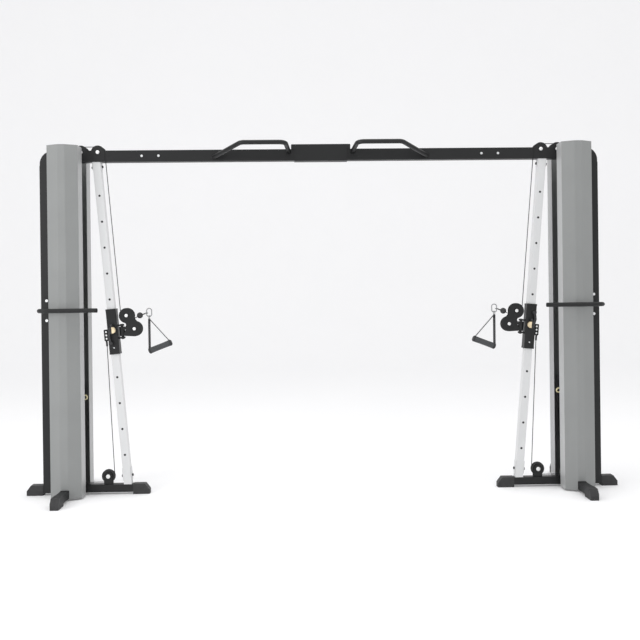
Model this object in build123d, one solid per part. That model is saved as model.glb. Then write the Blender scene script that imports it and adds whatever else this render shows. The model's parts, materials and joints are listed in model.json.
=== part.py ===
"""A cable crossover functional trainer: two weight towers joined by a crossbeam.

The frame is in millimetres: +X along the machine, -Y towards the user, +Z up,
with the origin on the floor midway between the towers. Each tower is drawn on
the +X side and mirrored to make its partner.
"""
import math
import os

from build123d import *

os.makedirs("parts", exist_ok=True)

# Driving sizes of the frame.
half_width = 1956
tower_x = 1660
foot_reach = 410
tube = 50
wall = 3
base_low = 15
base_top = base_low + tube
cap_nose = 34
base_inner = 1152

# Outer upright, elbow and header.
upright_in = 1767
upright_out = 1845
header_low = 2184
header_top = 2259
elbow_radius = 85
elbow_start = 2160
beam_joint = 1122
half_tube = tube / 2

# Leaning adjustment column.
column_foot = (1296, 80)
lean = 4.87
hole_radius = 5.5
hole_pitch = 171
hole_count = 11

# Cables and pulleys: a large and a small size, by the radius of the cable's centre line.
cable_radius = 2.5
large = 40
small = 22
rim_lip = 4
groove_gap = 0.3
pulley_half = 8
axle_radius = 6
running_gap = 0.05

# Carriage on the column, in the column's own frame: along it, and inward from its axis.
sleeve_low = 856
sleeve_length = 274
sleeve_half = 33
swivel_offset = 57
boss_along = 1002
pin_lift = 32
pin_travel = 8.5
arm_root = (957, 1020)
arm_half = 18
arm_plate = 4
spindle_radius = 9
lobe_radius = 50
upper_arm_pulley = (swivel_offset + large, 1089)
lower_arm_pulley = (141, 998)
anchor_offset = 52
anchor_along = 972
anchor_half = 38
anchor_terminal = 34

# Cable's free end and its handle.
exit_angle = 28.1
ball_radius = 20
ball_reach = 75
carabiner_centre = (1146, 1192)
carabiner_half = (20, 30)
carabiner_rod = 3.5
handle_tilt = 21
strap_drop = 198
grip_length = 134
grip_radius = 20
core_radius = 11

# Weight stack.
plate_half_x = 50
plate_half_y = 120
plate_height = 25
stack_low = 300
resting_count = 13
chosen_count = 2
head_height = 50
rod_spread = 75
rod_radius = 10
stem_radius = 12
seat_gap = 0.2

# Guard around the stack.
guard_low = 10
guard_top = 2272
guard_sheet = 2
guard_half_x = 99
guard_side_y = 150
guard_front_y = 185
facet_half = 25
slot_half = 55

lean_sine = math.sin(math.radians(lean))
lean_cosine = math.cos(math.radians(lean))
lifted_low = stack_low + resting_count * plate_height + seat_gap
head_low = lifted_low + chosen_count * plate_height
head_top = head_low + head_height
pin_z = lifted_low + plate_height / 2


def on_column(inward, along):
    """World x and z of a point given inward from the column's axis and along it."""
    x = column_foot[0] + along * lean_sine - inward * lean_cosine
    z = column_foot[1] + along * lean_cosine + inward * lean_sine
    return x, z


column_frame = Pos(column_foot[0], 0, column_foot[1]) * Rot(0, lean, 0)

# Pulley centres.
pulley_z = header_top - 12
pulley_a = (column_foot[0] + (pulley_z - column_foot[1]) * lean_sine / lean_cosine
            - (swivel_offset - large) / lean_cosine, pulley_z)
pulley_b = (1574, pulley_z)
pulley_s = (pulley_b[0] + 2 * large, head_top + 78)
pulley_c = (pulley_s[0] + large + small, 2222)
pulley_d = (pulley_c[0], base_top + 34)
pulley_e = (1424, pulley_d[1] - small + large)
pulley_t = on_column(*upper_arm_pulley)
pulley_u = on_column(*lower_arm_pulley)

# The cable leaves the upper arm pulley from below, rising towards the middle of the machine.
exit_x = -math.cos(math.radians(exit_angle))
exit_z = math.sin(math.radians(exit_angle))
exit_point = (pulley_t[0] - large * exit_z, pulley_t[1] + large * exit_x)
ball = (exit_point[0] + ball_reach * exit_x, exit_point[1] + ball_reach * exit_z)


def box_between(low, high):
    """A box from its lowest corner to its highest."""
    size = [b - a for a, b in zip(low, high)]
    centre = [(a + b) / 2 for a, b in zip(low, high)]
    return Pos(*centre) * Box(*size)


def rod(start, end, radius):
    """A round bar between two points."""
    run = Vector(*end) - Vector(*start)
    bar = Cylinder(radius, run.length, align=(Align.CENTER, Align.CENTER, Align.MIN))
    return Plane(origin=start, z_dir=run) * bar


def cross_rod(centre, radius, half_length):
    """A round bar along Y through a point given by x and z."""
    x, z = centre
    return rod((x, -half_length, z), (x, half_length, z), radius)


def side_plate(outline, low_y, high_y):
    """An outline drawn in x and z, made solid between two depths."""
    return extrude(Plane.XZ.offset(-high_y) * outline, amount=high_y - low_y)


def square_tube(low, high, along):
    """A box tube that is open along one axis."""
    bore_low = [v + wall for v in low]
    bore_high = [v - wall for v in high]
    bore_low[along] = low[along] - 1
    bore_high[along] = high[along] + 1
    return box_between(low, high) - box_between(bore_low, bore_high)


def pulley(radius, centre):
    """A grooved wheel with a hub, whose cable runs at the given radius."""
    rim = radius + rim_lip
    floor = radius - cable_radius - groove_gap
    bore = axle_radius + running_gap
    groove = cable_radius + 2 * groove_gap
    web = pulley_half / 2
    outline = Polyline(
        (bore, -pulley_half), (axle_radius + 6, -pulley_half), (axle_radius + 7, -web),
        (floor - 5, -web), (floor - 3, -pulley_half), (rim, -pulley_half), (floor, -groove),
        (floor, groove), (rim, pulley_half), (floor - 3, pulley_half), (floor - 5, web),
        (axle_radius + 7, web), (axle_radius + 6, pulley_half), (bore, pulley_half), close=True)
    return Pos(centre[0], 0, centre[1]) * revolve(make_face(outline), axis=Axis.Y)


def hex_head(centre, radius, start_y, end_y):
    """A hexagon bolt head facing along Y."""
    outline = Pos(*centre) * RegularPolygon(radius, 6)
    return side_plate(outline, min(start_y, end_y), max(start_y, end_y))


def axle_bolt(centre, inner_gap, outer_face, head=13):
    """A pulley's bolt: the shaft, the spacers beside the wheel, the head and the nut."""
    bolt = cross_rod(centre, axle_radius, outer_face)
    bolt += hex_head(centre, head, -outer_face - 6, -outer_face)
    bolt += hex_head(centre, head, outer_face, outer_face + 6)
    spacer_start = pulley_half + groove_gap
    for side in (-1, 1):
        near = (centre[0], side * spacer_start, centre[1])
        far = (centre[0], side * inner_gap, centre[1])
        bolt += rod(near, far, axle_radius + 3)
    return bolt


def cap_bolt(face, direction, radius=7, head=5, shank=3.5, depth=6):
    """A small bolt: a round head on a face, with its shank running back into the part."""
    out = Vector(*direction)
    start = Vector(*face)
    return rod(start, start + out * head, radius) + rod(start - out * depth, start, shank)


def swept_cable(path):
    """A steel cable along a path in x and z."""
    placed = Plane.XZ * path
    section = Plane(origin=placed @ 0, z_dir=placed % 0) * Circle(cable_radius)
    return sweep(section, path=placed)


def wrap(centre, radius, start, turn):
    """The arc of cable that lies on a pulley."""
    return CenterArc(centre, radius, start, turn)


def bent_tube(points, bend, radius, thickness):
    """A round tube through the given corners, with equal bends."""
    path = FilletPolyline(*points, radius=bend)
    start = Plane(origin=path @ 0, z_dir=path % 0)
    return sweep(start * Circle(radius), path=path) - sweep(start * Circle(radius - thickness), path=path)


def mirrored(shape):
    """The partner of a tower's part on the other side of the machine."""
    return mirror(shape, about=Plane.YZ)


def solids_of(shapes):
    """Every solid in a list of shapes."""
    return [solid for shape in shapes for solid in shape.solids()]


def save(name, *shapes):
    """Write one node as a STEP file."""
    body = Compound(label=name, children=solids_of(shapes))
    export_step(body, f"parts/{name}.step")


def save_pair(name, *shapes):
    """Write one fixed node that holds the part of both towers."""
    save(name, *shapes, *[mirrored(shape) for shape in shapes])


def save_sides(name, *shapes):
    """Write a moving part once for each tower."""
    save("right_" + name, *shapes)
    save("left_" + name, *[mirrored(shape) for shape in shapes])


def hull_of(circles):
    """The outline stretched around circles given as (x, z, radius)."""
    edges = Sketch() + [Pos(x, z) * Circle(radius) for x, z, radius in circles]
    return make_hull(edges.edges())


# ---------------------------------------------------------------- frame
def base_beam():
    """The tube along the floor that carries a tower and its column."""
    low = (base_inner + cap_nose, -half_tube, base_low)
    high = (half_width - cap_nose, half_tube, base_top)
    return square_tube(low, high, 0)


def cross_foot(side):
    """One half of the foot across the tower, welded against the base beam."""
    ends = sorted((side * half_tube, side * (foot_reach - cap_nose)))
    low = (tower_x - half_tube, ends[0], base_low)
    high = (tower_x + half_tube, ends[1], base_top)
    return square_tube(low, high, 1)


def foot_cap():
    """A moulded cap over a tube's end, with a low nose and a sloping top, drawn along +X."""
    cap_length = 108
    nose_height = 28
    slope_end = 4 - cap_nose
    cap_top = base_top + 2
    outline = make_face(Polyline((0, 0), (0, nose_height), (slope_end, cap_top),
                                 (-cap_length, cap_top), (-cap_length, 0), close=True))
    block = side_plate(outline, -half_tube - 2, half_tube + 2)
    block = fillet(block.edges().filter_by(Axis.Z).sort_by(Axis.X)[-2:], 8)
    tunnel = box_between((-cap_length - 1, -half_tube, base_low), (-cap_nose, half_tube, base_top))
    return block - tunnel


def foot_caps():
    """The four caps of one tower."""
    drawn = foot_cap()
    end_cap = Pos(half_width, 0, 0) * drawn
    inner_cap = Pos(base_inner, 0, 0) * Rot(0, 0, 180) * drawn
    front_cap = Pos(tower_x, -foot_reach, 0) * Rot(0, 0, -90) * drawn
    rear_cap = Pos(tower_x, foot_reach, 0) * Rot(0, 0, 90) * drawn
    return [end_cap, inner_cap, front_cap, rear_cap]


def elbow_outline(inset, overrun):
    """The header and the elbow as one outline, drawn inward by the inset, with ends run on."""
    out_x = upright_out - 2 - inset
    top_z = header_top - inset
    turn_x = upright_out - 2 - elbow_radius
    turn_z = header_top - elbow_radius
    low_z = header_low + inset
    in_x = upright_in + inset
    inner = 10 - inset
    end_x = beam_joint - overrun
    end_z = elbow_start - overrun
    outline = Line((out_x, end_z), (out_x, turn_z))
    outline += CenterArc((turn_x, turn_z), elbow_radius - inset, 0, 90)
    outline += Line((turn_x, top_z), (end_x, top_z))
    outline += Line((end_x, top_z), (end_x, low_z))
    outline += Line((end_x, low_z), (in_x - inner, low_z))
    outline += CenterArc((in_x - inner, low_z - inner), inner, 90, -90)
    outline += Line((in_x, low_z - inner), (in_x, end_z))
    outline += Line((in_x, end_z), (out_x, end_z))
    return make_face(outline)


def tower_header():
    """The box tube over a tower, with its elbow and the openings for pulleys and cables."""
    header = side_plate(elbow_outline(0, 0), -half_tube, half_tube)
    header -= side_plate(elbow_outline(wall, 1), wall - half_tube, half_tube - wall)
    mouth = pulley_half + 4
    reach = large + rim_lip + 5
    header -= box_between((pulley_a[0] - reach, -mouth, header_top - 5),
                          (pulley_b[0] + reach, mouth, header_top + 5))
    drop_a, _ = on_column(swivel_offset, (header_low - column_foot[1]) / lean_cosine)
    drops = (drop_a, pulley_b[0] + large, pulley_c[0] - small, pulley_c[0] + small)
    for x in drops:
        header -= rod((x, 0, header_low - 5), (x, 0, header_low + 5), cable_radius + 5)
    return header


def outer_upright():
    """The tall tube from the base beam to the elbow."""
    low = (upright_in, -half_tube, base_top)
    high = (upright_out, half_tube, elbow_start)
    return square_tube(low, high, 2)


def hump_plate(side):
    """The cover plate beside the two header pulleys, with one hump over each."""
    hump = 45
    shoulder = header_top - 6
    outline = Sketch() + [Pos(*centre) * Circle(hump) for centre in (pulley_a, pulley_b)]
    outline += make_face(Polyline(
        (pulley_a[0] - hump, header_low), (pulley_a[0] - hump, shoulder),
        (pulley_b[0] + hump, shoulder), (pulley_b[0] + hump, header_low), close=True))
    depths = sorted((side * half_tube, side * (half_tube + wall)))
    return side_plate(outline, *depths) - box_between((0, -99, 0), (3000, 99, header_low))


def crossbeam():
    """The tube that joins the two towers."""
    low = (-beam_joint, -half_tube, header_low)
    high = (beam_joint, half_tube, header_top)
    return square_tube(low, high, 0)


def centre_sleeve():
    """The channel and the block around the middle of the crossbeam."""
    sleeve_half_x = 175
    block_half_x = 196
    skin = 4
    outer = half_tube + skin
    channel = box_between((-sleeve_half_x, -outer, header_low - skin),
                          (sleeve_half_x, outer, header_top))
    channel -= box_between((-999, -half_tube, header_low), (999, half_tube, header_top + 1))
    block = box_between((-block_half_x, -outer, header_top), (block_half_x, outer, header_top + 31))
    block = fillet(block.edges().filter_by(Axis.Y), 6)
    return [channel, block]


def pull_up_handle():
    """A bent grip in front of the crossbeam, welded to it at both ends."""
    grip_y = -250
    grip_z = header_top + 3
    face_y = -half_tube
    inner_x = 196 + 14
    points = [(705, face_y, header_low + 26), (512, grip_y, grip_z), (inner_x + 20, grip_y, grip_z),
              (inner_x, face_y, header_top - 18)]
    handle = bent_tube(points, 45, 14.5, 3)
    return handle - box_between((0, face_y, 2000), (1000, 100, 2400))


def hand_rail():
    """A rail in front of the guard, carried by a plate on the outer upright."""
    rail_z = 1212
    rail_y = -218
    bracket_half_z = 86
    skin = 6
    start_x = upright_out - 40
    face_y = -half_tube - skin
    plate = box_between((upright_in + 8, face_y, rail_z - bracket_half_z),
                        (upright_out - 8, -half_tube, rail_z + bracket_half_z))
    points = [(start_x, face_y, rail_z), (start_x + 6, rail_y, rail_z), (1432, rail_y, rail_z)]
    return [plate, bent_tube(points, 50, 14, 3)]


def rail_bolts():
    """The two bolts of the rail's plate."""
    x = (upright_in + upright_out) / 2
    return [cap_bolt((x, -half_tube - 6, z), (0, -1, 0), 9, depth=9) for z in (1212 - 65, 1212 + 65)]


def guard_outline():
    """The faceted cross section of the tower's guard."""
    corners = []
    for side_y in (-1, 1):
        for x in (-guard_half_x, -facet_half, facet_half, guard_half_x):
            depth = guard_front_y if abs(x) == facet_half else guard_side_y
            corners.append((tower_x + x * side_y * -1, side_y * depth))
    outline = make_face(Polyline(*corners, close=True))
    return fillet(outline.vertices(), 5)


def guard(side):
    """The front (-1) or rear (1) half of the bent sheet around the stack."""
    outline = guard_outline()
    shell = extrude(outline - offset(outline, -guard_sheet), amount=guard_top - guard_low)
    shell = Pos(0, 0, guard_low) * shell
    left = tower_x - guard_half_x - 5
    right = tower_x + guard_half_x + 5
    gap = 3
    other_half = sorted((side * 8, -side * 999))
    shell -= box_between((left, other_half[0], 0), (right, other_half[1], 3000))
    shell -= box_between((left, -slot_half, 0), (tower_x, slot_half, 3000))
    shell -= box_between((tower_x, -half_tube - gap, 0), (right, half_tube + gap, base_top + gap))
    shell -= box_between((tower_x, -half_tube - gap, header_low - gap),
                         (right, half_tube + gap, header_top + gap))
    foot_gap = half_tube + gap
    shell -= box_between((tower_x - foot_gap, -999, 0), (tower_x + foot_gap, 999, base_top + gap))
    return shell


def guard_spacers():
    """The blocks that hold the guard to the outer upright."""
    spacers = []
    for z in (250, 1100, 1950):
        for side in (-1, 1):
            depths = sorted((side * 9, side * 23))
            spacers.append(box_between((tower_x + guard_half_x, depths[0], z - 20),
                                       (upright_in, depths[1], z + 20)))
    return spacers


# ---------------------------------------------------------------- column and carriage
def adjustment_column():
    """The leaning square tube with a row of holes for the lock pin."""
    half = half_tube
    length = 2500
    column = box_between((-half, -half, -200), (half, half, length))
    column -= box_between((wall - half, wall - half, -201), (half - wall, half - wall, length + 1))
    first = boss_along + pin_lift - 5 * hole_pitch
    for index in range(hole_count):
        along = first + index * hole_pitch
        column -= rod((0, -half - 1, along), (0, 0, along), hole_radius)
    column = column_frame * column
    column -= box_between((0, -99, -999), (3000, 99, base_top))
    return column - box_between((0, -99, header_low), (3000, 99, 9999))


def column_tabs():
    """The tabs welded beside the column's two ends, and their bolts."""
    tabs = []
    bolts = []
    skin = 5
    for along, low, high in ((2080, 2062, 2099), (40, 10, 62)):
        for side in (-1, 1):
            faces = sorted((side * half_tube, side * (half_tube + skin)))
            tab = column_frame * box_between((faces[0], -18, low), (faces[1], 18, high + 30))
            tab -= box_between((0, -99, header_low), (3000, 99, 9999))
            tab -= box_between((0, -99, -99), (3000, 99, base_top))
            bolt = column_frame * cap_bolt((side * (half_tube + skin), 0, along), (side, 0, 0), 8, depth=7)
            tabs.append(tab - bolt)
            bolts.append(bolt)
    return tabs, bolts


def carriage_sleeve():
    """The square sleeve on the column with its pin boss and the seat of its lever."""
    high = sleeve_low + sleeve_length
    half = sleeve_half
    bore = half - 5
    sleeve = box_between((-half, -half, sleeve_low), (half, half, high))
    sleeve = fillet(sleeve.edges().filter_by(Axis.Z), 5)
    sleeve -= box_between((-bore, -bore, sleeve_low - 1), (bore, bore, high + 1))
    pin_along = boss_along + pin_lift
    sleeve += rod((0, -half - 8, pin_along), (0, -half, pin_along), 13)
    sleeve -= rod((0, -half - 20, pin_along), (0, -half + 6, pin_along), 5 + running_gap)
    sleeve += rod((0, -half - 8, boss_along), (0, -half, boss_along), 21)
    sleeve -= rod((0, -half - 20, boss_along), (0, -half + 6, boss_along), 5)
    return column_frame * sleeve


def hinge_lugs():
    """The two lugs welded to the sleeve's inner face that the arm swivels in."""
    lug_radius = 16
    lug_height = 12
    lug_gap = 4
    lugs = []
    for low in (arm_root[0] - lug_gap - lug_height, arm_root[1] + lug_gap):
        lug = box_between((-swivel_offset, -lug_radius, low), (-sleeve_half, lug_radius, low + lug_height))
        lug += rod((-swivel_offset, 0, low), (-swivel_offset, 0, low + lug_height), lug_radius)
        hole_start = (-swivel_offset, 0, low - 1)
        hole_end = (-swivel_offset, 0, low + lug_height + 1)
        lugs.append(column_frame * (lug - rod(hole_start, hole_end, spindle_radius + running_gap)))
    return lugs


def carriage_bushes():
    """The sliding bushes pressed into both ends of the sleeve."""
    bushes = []
    inner = half_tube + groove_gap
    outer = sleeve_half - 5
    high = sleeve_low + sleeve_length
    for low, top, lip_low in ((sleeve_low, sleeve_low + 40, sleeve_low - 12), (high - 40, high, high)):
        bush = box_between((-outer, -outer, low), (outer, outer, top))
        bush += box_between((-sleeve_half, -sleeve_half, lip_low), (sleeve_half, sleeve_half, lip_low + 12))
        bush -= box_between((-inner, -inner, 0), (inner, inner, 2000))
        bushes.append(column_frame * bush)
    return bushes


def cable_anchor():
    """The block on the sleeve's outer face that holds the lower cable, and its bolts."""
    low = anchor_along - anchor_half
    block = box_between((sleeve_half, -14, low), (anchor_offset + 10, 14, anchor_along + anchor_half))
    block = fillet(block.edges().filter_by(Axis.Y).group_by(Axis.X)[-1], 6)
    block += rod((anchor_offset, 0, low - anchor_terminal), (anchor_offset, 0, low), 6)
    for step in (-22, 0, 22):
        dot = (anchor_offset - 6, -14, anchor_along + step)
        block += rod(dot, (dot[0], -18, dot[2]), 6)
    return column_frame * block


def lever_pivot():
    """The fixed stud that the release lever turns on."""
    stud = rod((0, -sleeve_half - 24, boss_along), (0, -sleeve_half + 5, boss_along), 5)
    stud += rod((0, -sleeve_half - 28, boss_along), (0, -sleeve_half - 24, boss_along), 9)
    return column_frame * stud


def carriage_lever(way):
    """The release lever: a half-round hub, a curved arm and a flat thumb end."""
    front = -sleeve_half - 23
    back = -sleeve_half - 9
    hub = Pos(0, boss_along) * (Circle(23) - Pos(-23, 0) * Rectangle(42, 46) + Circle(11))
    reach = way * 84
    arm = make_face(Polyline((4, boss_along), (16, boss_along + reach * 0.45), (8, boss_along + reach),
                             (24, boss_along + reach), (31, boss_along + reach * 0.45),
                             (22, boss_along), close=True))
    lever = side_plate(hub, front, back) + side_plate(arm, front, front + 7)
    pad = box_between((2, front - 5, boss_along + reach - 8), (26, front + 7, boss_along + reach + 8))
    lever += fillet(pad.edges().filter_by(Axis.Y), 3)
    lever -= rod((0, front - 1, boss_along), (0, back + 1, boss_along), 5 + running_gap)
    return column_frame * lever


def lock_pin():
    """The pin that locks the sleeve to the column, drawn back just clear of it, with its knob."""
    along = boss_along + pin_lift
    knob_back = -sleeve_half - 8 - pin_travel
    pin = rod((0, knob_back, along), (0, -half_tube - 0.5, along), 5)
    pin += rod((0, knob_back - 8, along), (0, knob_back, along), 8)
    return column_frame * pin


# ---------------------------------------------------------------- swivelling arm
def hollow_between(upper, lower, radius):
    """The centre of the arc that joins two lobes, on the side away from the column."""
    middle = (upper + lower) * 0.5
    half = (upper - lower).length / 2
    away = Vector(lower.Y - upper.Y, upper.X - lower.X).normalized()
    return middle + away * math.sqrt((lobe_radius + radius) ** 2 - half ** 2)


def arm_outline():
    """The two lobes of the arm's plates, with a waist between them, and the tab back to its hinge."""
    low, high = arm_root
    upper = Vector(-upper_arm_pulley[0], upper_arm_pulley[1])
    lower = Vector(-lower_arm_pulley[0], lower_arm_pulley[1])
    tab_x = -swivel_offset - 8
    tab_top = high - 5
    corner = 6
    waist_radius = 30
    notch_radius = 14
    waist = hollow_between(upper, lower, waist_radius)
    notch_rise = upper.Y - tab_top - notch_radius
    notch_in = math.sqrt((lobe_radius + notch_radius) ** 2 - notch_rise ** 2)
    notch = Vector(upper.X + notch_in, tab_top + notch_radius)
    web = make_face(Polyline((upper.X, upper.Y), (waist.X, waist.Y), (lower.X, lower.Y), (tab_x, lower.Y),
                             (tab_x, tab_top), (notch.X, tab_top), (notch.X, notch.Y), close=True))
    web += hull_of([(tab_x - corner, low + corner, corner), (lower.X, lower.Y, lobe_radius)])
    web -= Pos(waist.X, waist.Y) * Circle(waist_radius)
    web -= Pos(notch.X, notch.Y) * Circle(notch_radius)
    for lobe in (upper, lower):
        web += Pos(lobe.X, lobe.Y) * Circle(lobe_radius)
    return web


def pulley_arm():
    """The two plates of the arm, its hinge knuckle and its spindle."""
    low, high = arm_root
    plates = side_plate(arm_outline(), -arm_half, arm_plate - arm_half)
    plates += side_plate(arm_outline(), arm_half - arm_plate, arm_half)
    axis_x = -swivel_offset
    clear = 24
    plates -= rod((axis_x, 0, high + 1), (axis_x, 0, high + 19), clear)
    plates -= rod((axis_x, 0, 900), (axis_x, 0, low), clear)
    for x, z in ((-upper_arm_pulley[0], upper_arm_pulley[1]), (-lower_arm_pulley[0], lower_arm_pulley[1])):
        plates -= cross_rod((x, z), axle_radius, 30)
    arm = plates + rod((axis_x, 0, low), (axis_x, 0, high), arm_half)
    arm += rod((axis_x, 0, low - 20), (axis_x, 0, high + 18), spindle_radius)
    return column_frame * arm


def arm_bolts():
    """The two bolts that carry the arm's pulleys."""
    inner = arm_half - arm_plate
    return [axle_bolt(centre, inner, arm_half, 12) for centre in (pulley_t, pulley_u)]


# ---------------------------------------------------------------- cable end and handle
def ball_stop():
    """The rubber ball on the cable's end, with a shank and an eye for the carabiner."""
    eye_radius = 8
    eye_rod = 2.5
    eye = (carabiner_centre[0] + carabiner_half[0] - carabiner_rod, 0, carabiner_centre[1] - 4)
    stop = Pos(ball[0], 0, ball[1]) * Sphere(ball_radius)
    toward = (Vector(*eye) - Vector(ball[0], 0, ball[1])).normalized()
    shank_end = Vector(*eye) - toward * (eye_radius + 1)
    stop += rod((ball[0], 0, ball[1]), shank_end, 4)
    stop += Pos(*eye) * Torus(eye_radius, eye_rod)
    bore_end = (ball[0] - 6 * exit_x, 0, ball[1] - 6 * exit_z)
    bore_start = (ball[0] - 30 * exit_x, 0, ball[1] - 30 * exit_z)
    return stop - rod(bore_start, bore_end, cable_radius)


def carabiner():
    """A closed oval snap hook of round bar."""
    half_x = carabiner_half[0] - carabiner_rod
    half_z = carabiner_half[1] - carabiner_rod
    oval = Pos(*carabiner_centre) * RectangleRounded(2 * half_x, 2 * half_z, half_x - 1)
    path = Plane.XZ * oval.face().outer_wire()
    section = Plane(origin=path @ 0, z_dir=path % 0) * Circle(carabiner_rod)
    return sweep(section, path=path)


ring_top = carabiner_centre[1] - carabiner_half[1] + 2 * carabiner_rod + 2.5 + groove_gap
ring_height = 22
strap_apex = (carabiner_centre[0], ring_top - ring_height)
handle_frame = Pos(strap_apex[0], 0, strap_apex[1]) * Rot(0, handle_tilt, 0)


def handle_ring():
    """The rectangular ring between the carabiner and the strap."""
    outline = RectangleRounded(36, ring_height, 6)
    path = Plane.YZ * outline.face().outer_wire()
    section = Plane(origin=path @ 0, z_dir=path % 0) * Circle(2.5)
    ring = sweep(section, path=path)
    return Pos(strap_apex[0], 0, ring_top - ring_height / 2) * ring


def handle_strap():
    """The webbing from the ring to both ends of the grip's core, and that core."""
    half_core = grip_length / 2 + 14
    strap_half = 12.5
    skin = 1.5
    loop = rod((0, -strap_half, 0), (0, strap_half, 0), 2.5 + 2 * skin)
    strap = loop
    for side in (-1, 1):
        end = Vector(side * (half_core - 4), 0, -strap_drop)
        leg = Vector(0, 0, 0) - end
        lift = math.degrees(math.atan2(leg.Z, leg.X))
        centre = end * 0.5
        slab = Box(leg.length, 2 * strap_half, 2 * skin)
        strap += Pos(*centre) * Rot(0, -lift, 0) * slab
        cuff_in = side * (half_core - 9)
        cuff_out = side * half_core
        strap += rod((cuff_in, 0, -strap_drop), (cuff_out, 0, -strap_drop), core_radius + 5)
    strap += rod((-half_core, 0, -strap_drop), (half_core, 0, -strap_drop), core_radius)
    strap -= rod((-half_core - 1, 0, -strap_drop), (half_core + 1, 0, -strap_drop), core_radius - 3)
    return handle_frame * strap - handle_ring()


def handle_grip():
    """The foam grip that turns on the core."""
    half = grip_length / 2
    start = (-half, 0, -strap_drop)
    end = (half, 0, -strap_drop)
    grip = rod(start, end, grip_radius)
    grip = fillet(grip.edges().filter_by(GeomType.CIRCLE), 4)
    return handle_frame * (grip - rod((-half - 1, 0, -strap_drop), (half + 1, 0, -strap_drop),
                                      core_radius + running_gap))


# ---------------------------------------------------------------- weight stack
def weight_plate(low, height, bore):
    """One plate with its two rod holes, stem hole and selector slot."""
    high = low + height
    plate = box_between((tower_x - plate_half_x, -plate_half_y, low),
                        (tower_x + plate_half_x, plate_half_y, high))
    plate = chamfer(plate.edges().group_by(Axis.Z)[-1], 1.5)
    for side in (-1, 1):
        y = side * rod_spread
        plate -= rod((tower_x, y, low - 1), (tower_x, y, high + 1), bore)
    return plate


def resting_plates():
    """The plates below the selector pin."""
    plates = []
    for index in range(resting_count):
        low = stack_low + index * plate_height
        plate = weight_plate(low, plate_height, rod_radius + 3)
        middle = low + plate_height / 2
        plate -= rod((tower_x, 0, low - 1), (tower_x, 0, low + plate_height + 1), stem_radius + 3)
        plate -= rod((tower_x - plate_half_x - 1, 0, middle), (tower_x, 0, middle), 5)
        plates.append(plate)
    return plates


def lifted_weights():
    """The head plate, the chosen plates, the stem, and the bracket of the stack pulley."""
    parts = []
    for index in range(chosen_count):
        low = lifted_low + index * plate_height
        plate = weight_plate(low, plate_height, rod_radius + 3)
        plate -= rod((tower_x, 0, low - 1), (tower_x, 0, low + plate_height + 1), stem_radius)
        parts.append(plate)
    head = weight_plate(head_low, head_height, rod_radius + running_gap)
    head -= rod((tower_x, 0, head_low - 1), (tower_x, 0, head_top + 1), stem_radius)
    parts.append(head)
    stem = rod((tower_x, 0, stack_low + 10), (tower_x, 0, head_top + 8), stem_radius)
    for index in range(resting_count + chosen_count):
        middle = stack_low + (index + 0.5) * plate_height + seat_gap
        stem -= rod((tower_x - 20, 0, middle), (tower_x + 20, 0, middle), 4 + running_gap)
    parts.append(stem)
    cheek = 14
    bracket = box_between((tower_x - 25, -cheek - 4, head_top + 8), (tower_x + 25, cheek + 4, head_top + 14))
    x, z = pulley_s
    for side in (-1, 1):
        outline = Pos(x, z) * Circle(22)
        outline += Pos(x, (head_top + 8 + z) / 2) * Rectangle(44, z - head_top - 8)
        depths = sorted((side * cheek, side * (cheek + 4)))
        bracket += side_plate(outline, *depths)
    bracket -= cross_rod(pulley_s, axle_radius, 40)
    parts.append(bracket)
    parts.append(axle_bolt(pulley_s, cheek, cheek + 4, 11))
    slot = rod((tower_x - plate_half_x - 1, 0, pin_z), (tower_x + 20, 0, pin_z), 4 + running_gap)
    parts[0] -= slot
    return parts


def selector_pin():
    """The pin that picks the load, with a pull ring on its end."""
    tip = tower_x + 16
    ring_radius = 13.5
    ring_rod = 4
    ring_x = tower_x - plate_half_x - 23 - ring_radius
    pin = rod((ring_x + ring_radius, 0, pin_z), (tip, 0, pin_z), 4)
    collar = tower_x - plate_half_x
    pin += rod((collar - 8, 0, pin_z), (collar - 0.5, 0, pin_z), 9)
    ring = Pos(ring_x, 0, pin_z) * Rot(90, 0, 0) * Torus(ring_radius, ring_rod)
    return pin + ring


def guide_rods():
    """The two polished rods that the stack slides on, and the bar across their tops."""
    top = header_low - 6
    rods = [rod((tower_x, side * rod_spread, base_top), (tower_x, side * rod_spread, top), rod_radius)
            for side in (-1, 1)]
    bar = box_between((tower_x - 16, -rod_spread - 20, top), (tower_x + 16, rod_spread + 20, header_low))
    return rods + [bar]


def stack_stands():
    """The hollow posts and rubber rings that the plates rest on."""
    stands = []
    for side in (-1, 1):
        y = side * rod_spread
        bottom = (tower_x, y, base_top)
        middle = (tower_x, y, stack_low - 12)
        top = (tower_x, y, stack_low)
        stands.append(rod(bottom, middle, 22) - rod(bottom, middle, rod_radius))
        stands.append(rod(middle, top, 26) - rod(middle, top, rod_radius))
    return stands


def pulley_bracket(centre, half_x):
    """Two cheeks on the base beam that carry a pulley."""
    x, z = centre
    outline = Pos(x, z) * Circle(half_x)
    outline += Pos(x, (base_top + z) / 2) * Rectangle(2 * half_x, z - base_top)
    outline -= Pos(x, z) * Circle(axle_radius)
    return [side_plate(outline, *depths) for depths in ((-15, -11), (11, 15))]


# ---------------------------------------------------------------- cables
lower_start = on_column(-anchor_offset, anchor_along - anchor_half - anchor_terminal - 1)
lower_lean = math.degrees(math.atan2(
    lower_start[0] - (pulley_e[0] - large), lower_start[1] - pulley_e[1]))


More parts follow.
